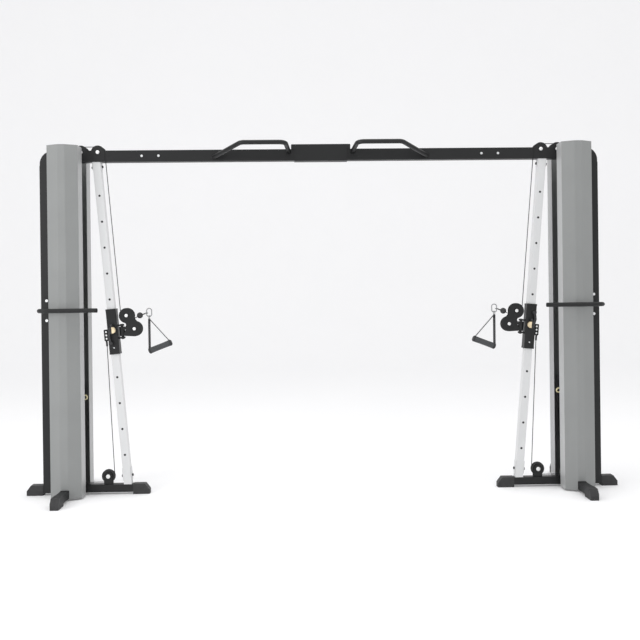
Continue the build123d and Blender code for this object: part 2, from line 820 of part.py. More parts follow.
def fixed_cables():
    """The stretches of cable that never change length: over the header and along the base."""
    top = pulley_z + large
    over = wrap(pulley_a, large, 180 + -lean, lean - 90)
    over += Line((pulley_a[0], top), (pulley_b[0], top))
    over += wrap(pulley_b, large, 90, -90)
    run_z = pulley_d[1] - small
    around = wrap(pulley_c, small, 180, -180)
    around += Line((pulley_c[0] + small, pulley_c[1]), (pulley_d[0] + small, pulley_d[1]))
    around += wrap(pulley_d, small, 0, -90)
    around += Line((pulley_d[0], run_z), (pulley_e[0], run_z))
    around += wrap(pulley_e, large, -90, -90 - lower_lean)
    return [swept_cable(over), swept_cable(around)]


def stack_cable():
    """The cable from the header down round the stack pulley and up again."""
    path = Line((pulley_b[0] + large, pulley_z - 0.5), (pulley_s[0] - large, pulley_s[1]))
    path += wrap(pulley_s, large, 180, 180)
    path += Line((pulley_s[0] + large, pulley_s[1]), (pulley_c[0] - small, pulley_c[1] - 0.5))
    return swept_cable(path)


def tangent_point(centre, angle, radius=large):
    """The point on a pulley's cable circle at an angle."""
    turn = math.radians(angle)
    return centre[0] + radius * math.cos(turn), centre[1] + radius * math.sin(turn)


def carriage_cables():
    """The two stretches that change length as the carriage slides."""
    upper = Line(tangent_point(pulley_a, 180 - lean), tangent_point(pulley_t, -lean))
    lower = Line(tangent_point(pulley_e, 180 - lower_lean), lower_start)
    return [swept_cable(upper), swept_cable(lower)]


def arm_cable():
    """The cable round the upper arm pulley and out to the ball."""
    sweep_angle = 90 + exit_angle - lean
    path = wrap(pulley_t, large, -lean, -sweep_angle)
    end = (ball[0] - 6 * exit_x, ball[1] - 6 * exit_z)
    path += Line(exit_point, end)
    return swept_cable(path)


def frame_axles():
    """The bolts of the fixed pulleys of one tower."""
    inside = half_tube - wall
    axles = [axle_bolt(centre, inside, half_tube + wall) for centre in (pulley_a, pulley_b)]
    axles.append(axle_bolt(pulley_c, inside, half_tube, 11))
    axles += [axle_bolt(centre, 11, 15, head) for centre, head in ((pulley_d, 11), (pulley_e, 13))]
    return axles


def header_bolts():
    """The bolts of the joint between header and crossbeam, on the front face."""
    middle = (header_low + header_top) / 2
    return [cap_bolt((x, -half_tube, middle), (0, -1, 0), 8) for x in (beam_joint - 55, beam_joint + 55)]


def splice():
    """The inner sleeve across the joint of header and crossbeam."""
    low = (beam_joint - 90, wall - half_tube, header_low + wall)
    high = (beam_joint + 90, half_tube - wall, header_top - wall)
    return square_tube(low, high, 0)


# ---------------------------------------------------------------- write the nodes
axles = frame_axles()
joint_bolts = header_bolts()
rails = hand_rail()
bracket_bolts = rail_bolts()
tabs, tab_bolts = column_tabs()


def cut_by(shape, tools):
    """A shape with its bolt holes made."""
    for tool in tools:
        shape -= tool
    return shape


save_pair("base_beams", base_beam())
save_pair("cross_feet", cross_foot(-1), cross_foot(1))
save_pair("foot_caps", *foot_caps())
save_pair("outer_uprights", cut_by(outer_upright(), bracket_bolts), *guard_spacers())
humps = [cut_by(hump_plate(side), axles[:2]) for side in (-1, 1)]
save_pair("tower_headers", cut_by(tower_header(), axles[:3] + joint_bolts), *humps)
beam = cut_by(crossbeam(), joint_bolts + [mirrored(bolt) for bolt in joint_bolts])
splices = [cut_by(splice(), joint_bolts)]
save("crossbeam", beam, *splices, *[mirrored(piece) for piece in splices])
save("centre_sleeve", *centre_sleeve())
save_pair("pull_up_handles", pull_up_handle())
save_pair("adjustment_columns", cut_by(adjustment_column(), tab_bolts), *tabs)
save_pair("front_guards", guard(-1))
save_pair("rear_guards", guard(1))
save_pair("hand_rails", *[cut_by(piece, bracket_bolts) for piece in rails])
save_pair("guide_rods", *guide_rods())
save_pair("stack_stands", *stack_stands())
save_pair("resting_plates", *resting_plates())
save_pair("frame_bolts", *axles, *joint_bolts, *bracket_bolts, *tab_bolts)
save_pair("base_pulley_brackets", *pulley_bracket(pulley_e, 28), *pulley_bracket(pulley_d, 16))
save_pair("fixed_cables", *fixed_cables())

save_sides("carriage_sleeve", carriage_sleeve(), *hinge_lugs(), *carriage_bushes(), cable_anchor(),
           lever_pivot())
save("right_carriage_lever", carriage_lever(1))
save("left_carriage_lever", mirrored(carriage_lever(-1)))
save_sides("lock_pin", lock_pin())
save_sides("pulley_arm", pulley_arm(), *arm_bolts())
save_sides("carriage_cables", *carriage_cables())
save_sides("arm_cable", arm_cable())
save_sides("ball_stop", ball_stop())
save_sides("carabiner", carabiner())
save_sides("handle_strap", handle_strap(), handle_ring())
save_sides("handle_grip", handle_grip())
save_sides("lifted_weights", *lifted_weights())
save_sides("stack_cable", stack_cable())
save_sides("selector_pin", selector_pin())
save_sides("column_header_pulley", pulley(large, pulley_a))
save_sides("stack_header_pulley", pulley(large, pulley_b))
save_sides("return_header_pulley", pulley(small, pulley_c))
save_sides("stack_pulley", pulley(large, pulley_s))
save_sides("tower_base_pulley", pulley(small, pulley_d))
save_sides("column_base_pulley", pulley(large, pulley_e))
save_sides("upper_arm_pulley", pulley(large, pulley_t))
save_sides("lower_arm_pulley", pulley(large, pulley_u))
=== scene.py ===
"""Looks of the cable crossover trainer: materials, cables, hand grips and small fittings on the CAD frame."""
import bmesh
import bpy
import json
import math
from mathutils import Matrix, Vector


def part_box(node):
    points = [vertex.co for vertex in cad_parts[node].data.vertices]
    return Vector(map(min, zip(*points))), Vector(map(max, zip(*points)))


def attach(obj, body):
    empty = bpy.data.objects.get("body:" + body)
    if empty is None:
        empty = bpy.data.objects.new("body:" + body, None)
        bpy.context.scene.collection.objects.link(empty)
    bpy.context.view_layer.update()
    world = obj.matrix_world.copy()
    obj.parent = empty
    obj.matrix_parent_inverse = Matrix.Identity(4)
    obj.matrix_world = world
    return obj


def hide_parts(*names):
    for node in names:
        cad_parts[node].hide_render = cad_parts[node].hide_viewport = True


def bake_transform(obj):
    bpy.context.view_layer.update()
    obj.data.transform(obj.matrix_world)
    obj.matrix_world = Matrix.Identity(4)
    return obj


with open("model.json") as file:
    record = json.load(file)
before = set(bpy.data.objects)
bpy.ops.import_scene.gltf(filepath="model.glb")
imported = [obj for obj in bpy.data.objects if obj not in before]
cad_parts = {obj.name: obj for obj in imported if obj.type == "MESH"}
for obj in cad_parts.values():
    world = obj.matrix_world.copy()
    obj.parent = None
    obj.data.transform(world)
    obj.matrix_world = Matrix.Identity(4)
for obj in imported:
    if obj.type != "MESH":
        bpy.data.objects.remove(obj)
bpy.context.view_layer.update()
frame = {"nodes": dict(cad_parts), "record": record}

SIDES = (("right", 1), ("left", -1))
ALL_NODES = frame["nodes"]

# Sizes shared with the CAD source, in metres.
CABLE_RADIUS = 0.0025
LARGE = 0.040  # cable circle of the large pulleys
SMALL = 0.022  # cable circle of the small return pulleys
COLUMN_FOOT = Vector((1.296, 0, 0.080))
COLUMN_HALF = 0.025
LEAN = math.radians(4.87)
EXIT_ANGLE = math.radians(28.1)
SLEEVE_HALF = 0.033
ANCHOR_OFFSET = 0.052
ANCHOR_ALONG = 0.972
ANCHOR_HALF = 0.038
ANCHOR_TERMINAL = 0.034
BOSS_ALONG = 1.002
PIN_ALONG = BOSS_ALONG + 0.032
HOLE_PITCH = 0.171
HOLE_COUNT = 11
BALL_RADIUS = 0.020


# ---------------------------------------------------------------- materials
class Nodes:
    """A short way to write a material's node tree."""

    def __init__(self, name):
        self.material = bpy.data.materials.new(name)
        self.material.use_nodes = True
        self.tree = self.material.node_tree
        self.shader = self.tree.nodes["Principled BSDF"]
        self.place = self.add("ShaderNodeTexCoord").outputs["Object"]

    def add(self, kind, **inputs):
        node = self.tree.nodes.new(kind)
        for key, value in inputs.items():
            self.put(node, key.replace("_", " "), value)
        return node

    def put(self, node, key, value):
        if isinstance(value, bpy.types.NodeSocket):
            self.tree.links.new(value, node.inputs[key])
        else:
            node.inputs[key].default_value = value

    def noise(self, scale, detail=4, vector=None):
        node = self.add("ShaderNodeTexNoise", Scale=scale, Detail=detail)
        self.tree.links.new(vector or self.place, node.inputs["Vector"])
        return node.outputs["Fac"]

    def stretched(self, scale):
        """The object's own coordinates, scaled differently along each axis."""
        node = self.add("ShaderNodeMapping")
        node.inputs["Scale"].default_value = scale
        self.tree.links.new(self.place, node.inputs["Vector"])
        return node.outputs["Vector"]

    def ramp(self, factor, low, high, start=0.0, end=1.0):
        node = self.add("ShaderNodeValToRGB")
        node.color_ramp.elements[0].position = start
        node.color_ramp.elements[1].position = end
        node.color_ramp.elements[0].color = (*low, 1)
        node.color_ramp.elements[1].color = (*high, 1)
        self.tree.links.new(factor, node.inputs["Fac"])
        return node.outputs["Color"]

    def span(self, factor, low, high):
        """A factor from 0 to 1 spread over another range."""
        node = self.add("ShaderNodeMapRange")
        node.inputs["To Min"].default_value = low
        node.inputs["To Max"].default_value = high
        self.tree.links.new(factor, node.inputs["Value"])
        return node.outputs["Result"]

    def bump(self, height, strength, distance):
        node = self.add("ShaderNodeBump", Strength=strength, Distance=distance)
        self.tree.links.new(height, node.inputs["Height"])
        self.tree.links.new(node.outputs["Normal"], self.shader.inputs["Normal"])

    def math(self, operation, first, second):
        node = self.add("ShaderNodeMath")
        node.operation = operation
        for index, value in enumerate((first, second)):
            if isinstance(value, bpy.types.NodeSocket):
                self.tree.links.new(value, node.inputs[index])
            else:
                node.inputs[index].default_value = value
        return node.outputs[0]


def shades(colour, spread):
    """A darker and a lighter neighbour of a colour."""
    return [c * (1 - spread) for c in colour], [c * (1 + spread) for c in colour]


def powder_coat(name, colour, rough, spread=0.06, shine=0.5):
    """Baked powder paint: a fine orange peel, faint cloudiness and handling marks in the gloss."""
    m = Nodes(name)
    low, high = shades(colour, spread)
    m.put(m.shader, "Base Color", m.ramp(m.noise(5.0, 6), low, high, 0.3, 0.7))
    m.put(m.shader, "Roughness", m.span(m.noise(14.0, 8), rough - 0.07, rough + 0.09))
    m.shader.inputs["Specular IOR Level"].default_value = shine
    m.bump(m.noise(700, 3), 0.12, 0.0004)
    return m.material


def guard_sheet(name, face_colour, painted_reflection_colour):
    """The guards' silver paint, grey on the broad facets; the flat returns beside the slots get a paler
    painted reflection of the bright surroundings in place of their grazing gloss.
    """
    m = Nodes(name)
    normal = m.add("ShaderNodeSeparateXYZ")
    m.tree.links.new(m.add("ShaderNodeNewGeometry").outputs["True Normal"], normal.inputs["Vector"])
    squared = m.math("MULTIPLY", normal.outputs["X"], normal.outputs["X"])
    # Faces turned sideways get the paler painted reflection colour instead of the facet grey
    sideways = m.math("GREATER_THAN", squared, 0.8)
    cloud = m.noise(5.0, 6)
    mix = m.add("ShaderNodeMix")
    mix.data_type = "RGBA"
    m.tree.links.new(sideways, mix.inputs["Factor"])
    for colour, socket in ((face_colour, mix.inputs[6]), (painted_reflection_colour, mix.inputs[7])):
        low, high = shades(colour, 0.03)
        m.tree.links.new(m.ramp(cloud, low, high, 0.3, 0.7), socket)
    m.put(m.shader, "Base Color", mix.outputs[2])
    m.put(m.shader, "Roughness", m.span(m.noise(14.0, 8), 0.30, 0.44))
    m.bump(m.noise(500.0, 3), 0.12, 0.0004)
    return m.material


def metal(name, colour, rough, scratch=(60, 60, 900)):
    """Bare or plated metal with fine drawn lines."""
    m = Nodes(name)
    lines = m.noise(1.0, 8, m.stretched(scratch))
    low, high = shades(colour, 0.07)
    m.put(m.shader, "Base Color", m.ramp(lines, low, high, 0.35, 0.65))
    m.put(m.shader, "Roughness", m.span(lines, rough - 0.05, rough + 0.08))
    m.shader.inputs["Metallic"].default_value = 1.0
    m.bump(lines, 0.08, 0.0002)
    return m.material


def moulded(name, colour, rough, grain=1500, strength=0.25):
    """Moulded plastic or rubber with a fine pebbled grain and slightly dusty high spots."""
    m = Nodes(name)
    cells = m.add("ShaderNodeTexVoronoi", Scale=grain)
    m.tree.links.new(m.place, cells.inputs["Vector"])
    low, high = shades(colour, 0.18)
    m.put(m.shader, "Base Color", m.ramp(m.noise(40.0, 6), low, high, 0.35, 0.7))
    m.put(m.shader, "Roughness", m.span(m.noise(120.0, 4), rough - 0.06, rough + 0.08))
    m.bump(cells.outputs["Distance"], strength, 0.0003)
    return m.material


def cast_plate(name, colour):
    """Black painted iron plates with a coarse skin and a mottled tone."""
    m = Nodes(name)
    low, high = shades(colour, 0.3)
    m.put(m.shader, "Base Color", m.ramp(m.noise(60.0, 10), low, high, 0.35, 0.75))
    m.put(m.shader, "Roughness", m.span(m.noise(90.0, 6), 0.42, 0.62))
    m.bump(m.noise(260.0, 8), 0.3, 0.0006)
    return m.material


def wire_rope(name, colour):
    """A coated wire rope: strands show as fine slanting ridges along the cable."""
    m = Nodes(name)
    wave = m.add("ShaderNodeTexWave", Scale=110.0, Distortion=0.6)
    wave.bands_direction = "DIAGONAL"
    m.tree.links.new(m.place, wave.inputs["Vector"])
    low, high = shades(colour, 0.35)
    m.put(m.shader, "Base Color", m.ramp(wave.outputs["Fac"], low, high))
    m.shader.inputs["Roughness"].default_value = 0.5
    m.shader.inputs["Specular IOR Level"].default_value = 0.3
    m.bump(wave.outputs["Fac"], 0.5, 0.0005)
    return m.material


def webbing(name, colour):
    """Woven nylon strap: two crossing sets of threads."""
    m = Nodes(name)
    waves = []
    for direction in ("Y", "Z"):
        wave = m.add("ShaderNodeTexWave", Scale=420.0, Distortion=0.4)
        wave.bands_direction = direction
        m.tree.links.new(m.place, wave.inputs["Vector"])
        waves.append(wave.outputs["Fac"])
    weave = m.math("MULTIPLY", waves[0], waves[1])
    low, high = shades(colour, 0.45)
    m.put(m.shader, "Base Color", m.ramp(weave, low, high))
    m.shader.inputs["Roughness"].default_value = 0.85
    m.shader.inputs["Sheen Weight"].default_value = 0.3
    m.bump(weave, 0.6, 0.0006)
    return m.material


def foam(name, colour):
    """Closed-cell grip foam: tiny pits and a soft sheen."""
    m = Nodes(name)
    cells = m.add("ShaderNodeTexVoronoi", Scale=900.0)
    m.tree.links.new(m.place, cells.inputs["Vector"])
    pits = m.math("MULTIPLY", cells.outputs["Distance"], m.noise(500.0, 6))
    low, high = shades(colour, 0.3)
    m.put(m.shader, "Base Color", m.ramp(pits, low, high, 0.1, 0.5))
    m.shader.inputs["Roughness"].default_value = 0.8
    m.shader.inputs["Sheen Weight"].default_value = 0.15
    m.bump(pits, 0.6, 0.0008)
    return m.material


PAINT = {
    "black_paint": powder_coat("black_paint", (0.009, 0.0095, 0.010), 0.42, shine=0.36),
    # The guards' second colour is a painted reflection on their sideways returns, not a paint of its own
    "guard_paint": guard_sheet("guard_paint", (0.240, 0.247, 0.245), (0.39, 0.395, 0.395)),
    "white_paint": powder_coat("white_paint", (0.64, 0.645, 0.65), 0.38, 0.02),
    "cap_plastic": moulded("cap_plastic", (0.022, 0.022, 0.023), 0.55),
    "black_plastic": moulded("black_plastic", (0.024, 0.024, 0.026), 0.5),
    "pulley_plastic": moulded("pulley_plastic", (0.016, 0.016, 0.017), 0.32, 900, 0.08),
    "rod_chrome": metal("rod_chrome", (0.72, 0.73, 0.75), 0.16),
    "bolt_steel": metal("bolt_steel", (0.78, 0.79, 0.80), 0.36, (300, 300, 300)),
    "pin_steel": metal("pin_steel", (0.34, 0.345, 0.35), 0.32, (200, 200, 200)),
    "cable_steel": wire_rope("cable_steel", (0.045, 0.045, 0.048)),
    "plate_iron": cast_plate("plate_iron", (0.014, 0.014, 0.015)),
    "ball_rubber": moulded("ball_rubber", (0.022, 0.022, 0.023), 0.5, 700),
    "strap_fabric": webbing("strap_fabric", (0.030, 0.030, 0.033)),
    "grip_foam": foam("grip_foam", (0.055, 0.058, 0.062)),
}
CREAM = moulded("cream_plastic", (0.80, 0.66, 0.44), 0.4, 800, 0.1)
RING_YELLOW = moulded("ring_yellow", (0.80, 0.72, 0.42), 0.42, 800, 0.1)
WHITE_CAP = metal("white_cap", (0.88, 0.88, 0.88), 0.42, (300, 300, 300))
THREAD = moulded("thread", (0.16, 0.16, 0.17), 0.8, 1200, 0.2)


def dress_cad_nodes():
    """Give every CAD node the detailed material of its slot."""
    for entry in frame["record"]["subparts"]:
        mesh = ALL_NODES[entry["node"]].data
        mesh.materials.clear()
        mesh.materials.append(PAINT[entry["material_slot"]])


# ---------------------------------------------------------------- mesh helpers
def mesh_piece(name, build, material, body=None, smooth=True):
    """A new mesh object filled by a bmesh function, with a material, riding on a body."""
    bm = bmesh.new()
    build(bm)
    bmesh.ops.recalc_face_normals(bm, faces=bm.faces)
    mesh = bpy.data.meshes.new(name)
    bm.to_mesh(mesh)
    bm.free()
    for face in mesh.polygons:
        face.use_smooth = smooth
    mesh.materials.append(material)
    piece = bpy.data.objects.new(name, mesh)
    bpy.context.collection.objects.link(piece)
    if body:
        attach(piece, body)
    return piece


def ring_frames(points):
    """At each point of a path, the direction and two axes across it; one of them stays near +Y."""
    frames = []
    for index, point in enumerate(points):
        before = points[max(index - 1, 0)]
        after = points[min(index + 1, len(points) - 1)]
        along = (after - before).normalized()
        across = Vector((0, 1, 0))
        across = (across - along * across.dot(along)).normalized()
        frames.append((point, across, along.cross(across)))
    return frames


def join_rings(bm, first, second):
    """A band of faces between two rings with the same number of corners."""
    count = len(first)
    for index in range(count):
        after = (index + 1) % count
        bm.faces.new((first[index], first[after], second[after], second[index]))


def add_tube(bm, points, outline):
    """Sweep an outline, given as (across, up) pairs, along a path, with closed ends."""
    rings = []
    for point, across, up in ring_frames(points):
        rings.append([bm.verts.new(point + across * a + up * b) for a, b in outline])
    for first, second in zip(rings, rings[1:]):
        join_rings(bm, first, second)
    bm.faces.new(rings[0][::-1])
    bm.faces.new(rings[-1])


def circle_outline(radius, count=16):
    """Points round a circle."""
    turns = [2 * math.pi * index / count for index in range(count)]
    return [(radius * math.cos(turn), radius * math.sin(turn)) for turn in turns]


def band_outline(width, thickness):
    """A flat strap's section with rounded edges."""
    half = width / 2
    crown = thickness / 2
    soft = half - crown
    return [(-half, 0), (-soft, crown), (0, crown * 1.05), (soft, crown), (half, 0),
            (soft, -crown), (0, -crown * 1.05), (-soft, -crown)]


def rolled(outline, angle):
    """A section turned about the path that it is swept along."""
    return [(a * math.cos(angle) - b * math.sin(angle), a * math.sin(angle) + b * math.cos(angle))
            for a, b in outline]


def add_lathe(bm, centre, axis, profile, count=40):
    """Turn a profile of (along, radius) pairs about an axis through a centre."""
    axis = Vector(axis).normalized()
    side = axis.orthogonal().normalized()
    up = axis.cross(side)
    rings = []
    for along, radius in profile:
        middle = Vector(centre) + axis * along
        turns = [2 * math.pi * index / count for index in range(count)]
        rings.append([bm.verts.new(middle + (side * math.cos(t) + up * math.sin(t)) * radius) for t in turns])
    for first, second in zip(rings, rings[1:]):
        join_rings(bm, first, second)
    for ring in (rings[0], rings[-1]):
        bm.faces.new(ring)


def arc_points(centre, radius, start, turn, count=24):
    """Points along an arc in the plane of x and z, angles from +X towards +Z in radians."""
    points = []
    for index in range(count + 1):
        angle = start + turn * index / count
        points.append(Vector((centre.x + radius * math.cos(angle), 0, centre.z + radius * math.sin(angle))))
    return points


def centre_of(node):
    """The middle of a CAD node's box."""
    low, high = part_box(node)
    return (low + high) / 2


def on_column(side, inward, y, along):
    """A point given inward from a column's axis, in depth, and along the column."""
    x = COLUMN_FOOT.x + along * math.sin(LEAN) - inward * math.cos(LEAN)
    z = COLUMN_FOOT.z + along * math.cos(LEAN) + inward * math.sin(LEAN)
    return Vector((side * x, y, z))


def mirror_x(point, side):
    """A right tower's point on the tower of the given side."""
    return Vector((side * point.x, point.y, point.z))


# ---------------------------------------------------------------- cables that change length
def stretched_cable(name, start, end):
    """A straight run of cable between two points, baked in place and not attached to any body."""
    outline = circle_outline(CABLE_RADIUS)
    piece = mesh_piece(name, lambda bm: add_tube(bm, [start, end], outline), PAINT["cable_steel"])
    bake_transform(piece)
    return piece


def wrapped_cable(name, points, body):
    """A bent run of cable that stays on its pulley."""
    outline = circle_outline(CABLE_RADIUS)
    piece = mesh_piece(name, lambda bm: add_tube(bm, points, outline), PAINT["cable_steel"], body)
    return piece


def rim_point(centre, angle, side, radius=LARGE):
    """A point on a pulley's cable circle, for the right tower's angle, on either tower."""
    right = Vector((abs(centre.x), 0, centre.z))
    point = right + Vector((math.cos(angle), 0, math.sin(angle))) * radius
    return mirror_x(point, side)


def bend_on(wheel, side, start, turn):
    """The bent run of cable on a large pulley, for the right tower's angles, on either tower."""
    right = Vector((abs(wheel.x), 0, wheel.z))
    return [mirror_x(point, side) for point in arc_points(right, LARGE, start, turn)]


def tower_cables(name, side):
    """The cables of one tower that the CAD holds as stiff solids, made in this order."""
    carriage_cables(name, side)
    stack_cable(name, side)
    arm_cable(name, side)


def carriage_cables(name, side):
    """The straight runs along the column, above and below the carriage."""
    column_pulley = centre_of(f"{name}_column_header_pulley")
    arm_wheel = centre_of(f"{name}_upper_arm_pulley")
    base_wheel = centre_of(f"{name}_column_base_pulley")
    upper = stretched_cable(f"{name}_upper_span", rim_point(column_pulley, math.pi - LEAN, side),
                            rim_point(arm_wheel, -LEAN, side))
    # The lower run ends in the tip of the fitting under the anchor block on the carriage's outer flank.
    anchor_low = on_column(side, -ANCHOR_OFFSET, 0, ANCHOR_ALONG - ANCHOR_HALF - ANCHOR_TERMINAL)
    anchor_right = mirror_x(anchor_low, side)
    low_lean = math.atan2(anchor_right.x - (abs(base_wheel.x) - LARGE), anchor_right.z - base_wheel.z)
    lower = stretched_cable(f"{name}_lower_span", rim_point(base_wheel, math.pi - low_lean, side),
                            anchor_low)
    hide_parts(f"{name}_carriage_cables")
    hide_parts(f"{name}_carriage_cables")


def stack_cable(name, side):
    """The run down to the pulley on the weight stack, round under it and up again."""
    stack_drop = centre_of(f"{name}_stack_header_pulley")
    lifter = centre_of(f"{name}_stack_pulley")
    returner = centre_of(f"{name}_return_header_pulley")
    stack = f"{name}_stack"
    down = stretched_cable(f"{name}_stack_down", rim_point(stack_drop, 0, side),
                           rim_point(lifter, math.pi, side))
    up = stretched_cable(f"{name}_stack_up", rim_point(returner, math.pi, side, SMALL),
                         rim_point(lifter, 0, side))
    loop = wrapped_cable(f"{name}_stack_loop", bend_on(lifter, side, math.pi, math.pi), stack)
    for piece in (down, up, loop):
        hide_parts(f"{name}_stack_cable")


def arm_cable(name, side):
    """The run round under the upper arm pulley and out to the ball stop."""
    arm_wheel = centre_of(f"{name}_upper_arm_pulley")
    arm = f"{name}_arm"
    bend = bend_on(arm_wheel, side, -LEAN, -(math.pi / 2 + EXIT_ANGLE - LEAN))
    around = wrapped_cable(f"{name}_arm_loop", bend, arm)
    ball_low, ball_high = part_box(f"{name}_ball_stop")
    ball_x = (abs(ball_low.x) if side < 0 else ball_high.x) - BALL_RADIUS
    ball = Vector((side * ball_x, 0, ball_low.z + BALL_RADIUS))
    tail = stretched_cable(f"{name}_cable_tail", bend[-1], ball)
    for piece in (around, tail):
        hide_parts(f"{name}_arm_cable")


# ---------------------------------------------------------------- hand grip
GRIP_TILT = math.radians(21)
GRIP_HALF = 0.067
STRAP_APEX = 1.146  # distance of the strap's top from the machine's middle
STRAP_WIDTH = 0.025
STRAP_THICKNESS = 0.0036
STRAP_ROLL = math.radians(28)  # turn of the outer strap about its own length


def grip_end(way):
    """The word in a piece's name for the inner or outer end of a grip."""
    return "in" if way < 0 else "out"


def hand_grip(name, side):
    """The foam grip with its flared end caps, the strap with its stitched ends, and the strap's ring."""
    middle = centre_of(f"{name}_handle_grip")
    along = Vector((side * math.cos(GRIP_TILT), 0, -math.sin(GRIP_TILT)))
    foam_grip(name, middle, along)
    for way in (-1, 1):
        grip_cap(name, middle, along, way)
    _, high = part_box(f"{name}_handle_strap")
    apex = Vector((side * STRAP_APEX, 0, high.z - 0.0245))
    for way in (-1, 1):
        end = middle + along * way * (GRIP_HALF + 0.008)
        roll = -side * STRAP_ROLL if way > 0 else 0.0
        strap_leg(name, apex, end, roll, way)
    ring_piece(name, apex)


def foam_grip(name, middle, along):
    """The soft tube that turns on the handle, a little thicker near both ends."""
    half = GRIP_HALF
    profile = [(-half, 0.0113), (-half, 0.0182), (-half + 0.003, 0.0198), (-half * 0.6, 0.0192), (0, 0.0190),
               (half * 0.6, 0.0192), (half - 0.003, 0.0198), (half, 0.0182), (half, 0.0113)]
    grip = mesh_piece(f"{name}_foam_grip", lambda bm: add_lathe(bm, middle, along, profile, 48),
                      PAINT["grip_foam"], f"{name}_grip")
    bevelled(grip, 0.0008)
    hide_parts(f"{name}_handle_grip")


def grip_cap(name, middle, along, way):
    """The flared plastic cap on one end of the grip."""
    outward = along * way
    start = middle + outward * (GRIP_HALF + 0.0012)
    profile = [(0, 0.0105), (0, 0.0200), (0.002, 0.0210), (0.006, 0.0205), (0.012, 0.0150), (0.013, 0.006)]
    cap = mesh_piece(f"{name}_grip_cap_{grip_end(way)}",
                     lambda bm: add_lathe(bm, start, outward, profile, 48),
                     PAINT["black_plastic"], f"{name}_handle")


def strap_leg(name, apex, end, roll, way):
    """One leg of the strap, from its top to one end of the grip, with two rows of thread."""
    down = (end - apex).normalized()
    points = [apex + Vector((0, 0, 0.004)), apex.lerp(end, 0.04), apex.lerp(end, 0.3)]
    points += [apex.lerp(end, 0.65), end - down * 0.016, end, end + down * 0.010]
    section = rolled(band_outline(STRAP_WIDTH, STRAP_THICKNESS), roll)
    strap = mesh_piece(f"{name}_strap_{grip_end(way)}", lambda bm: add_tube(bm, points, section),
                       PAINT["strap_fabric"], f"{name}_handle")
    strap.modifiers.new("round", "SUBSURF").render_levels = 2
    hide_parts(f"{name}_handle_strap")
    for step in (0.78, 0.84):
        label = f"{name}_stitch_{grip_end(way)}_{int(step * 100)}"
        stitches(label, apex.lerp(end, step), down, name, roll)


def stitches(label, middle, down, name, roll):
    """A row of raised thread across both faces of a strap that runs in the direction down."""
    across = Vector((0, 1, 0))
    across = (across - down * across.dot(down)).normalized()
    across = Matrix.Rotation(roll, 3, down) @ across
    face = down.cross(across)

    def build(bm):
        for way in (-1, 1):
            for index in range(7):
                centre = middle + face * way * 0.0019 + across * (index - 3) * 0.0032
                size = Matrix.Diagonal((0.0006, 0.0022, 0.0006, 1))
                bmesh.ops.create_icosphere(bm, subdivisions=2, radius=0.6,
                                           matrix=Matrix.Translation(centre) @ size)

    thread = mesh_piece(label, build, THREAD, f"{name}_handle")


def ring_piece(name, apex):
    """The bent steel ring between the snap hook and the strap, a rectangle with round corners."""
    half_y = 0.018
    height = 0.022
    corner = 0.006
    bar_radius = 0.0025
    corners = ((half_y, 0), (half_y, height), (-half_y, height), (-half_y, 0))
    points = []
    for index, (y, z) in enumerate(corners):
        centre_y = y - math.copysign(corner, y)
        centre_z = z + (corner if z == 0 else -corner)
        start = math.radians((-90, 0, 90, 180)[index])
        for step in range(7):
            angle = start + math.radians(90) * step / 6
            points.append(Vector((apex.x, centre_y + corner * math.cos(angle),
                                  apex.z + centre_z + corner * math.sin(angle))))
    ring = mesh_piece(f"{name}_strap_ring", lambda bm: add_loop(bm, points, bar_radius), PAINT["pin_steel"],
                      f"{name}_handle")


def add_loop(bm, points, radius, count=12):
    """A closed ring of round bar through points in a plane of constant x."""
    rings = []
    total = len(points)
    for index, point in enumerate(points):
        along = (points[(index + 1) % total] - points[index - 1]).normalized()
        across = Vector((1, 0, 0))
        up = along.cross(across)
        rings.append([bm.verts.new(point + across * a + up * b) for a, b in circle_outline(radius, count)])
    for index in range(total):
        join_rings(bm, rings[index], rings[(index + 1) % total])


def bevelled(piece, width):
    """Round a piece's hard edges a little."""
    modifier = piece.modifiers.new("edge", "BEVEL")
    modifier.width = width
    modifier.segments = 2
    modifier.limit_method = "ANGLE"


# ---------------------------------------------------------------- small fittings
def dome_cap(name, centre, radius, height, body, material):
    """A round domed cover over a bolt head, facing the user."""
    profile = [(0, radius), (height * 0.55, radius), (height * 0.85, radius * 0.86), (height, radius * 0.5),
               (height * 1.03, radius * 0.12)]
    cap = mesh_piece(name, lambda bm: add_lathe(bm, centre, (0, -1, 0), profile, 36), material, body)
    return cap


def tower_fittings(name, side):
    """The covers, bolts and rings that dress one tower, made in this order."""
    pulley_caps(name)
    carriage_covers(name, side)
    tab_bolts(name, side)
    pin_knob(name, side)
    # The dark plugs in the lock holes are painted shade
    hole_shade_plugs(name, side)
    pull_ring(name, side)


def pulley_caps(name):
    """A pale domed cover on the bolt of every pulley that faces the user."""
    for wheel, body, y, radius in (("upper_arm_pulley", "arm", -0.0238, 0.0110),
                                   ("lower_arm_pulley", "arm", -0.0238, 0.0110),
                                   ("column_header_pulley", None, -0.0338, 0.0120),
                                   ("stack_header_pulley", None, -0.0338, 0.0120),
                                   ("column_base_pulley", None, -0.0208, 0.0140)):
        middle = centre_of(f"{name}_{wheel}")
        owner = f"{name}_{body}" if body else "frame"
        dome_cap(f"{name}_{wheel}_cap", Vector((middle.x, y, middle.z)), radius, 0.0035, owner, WHITE_CAP)


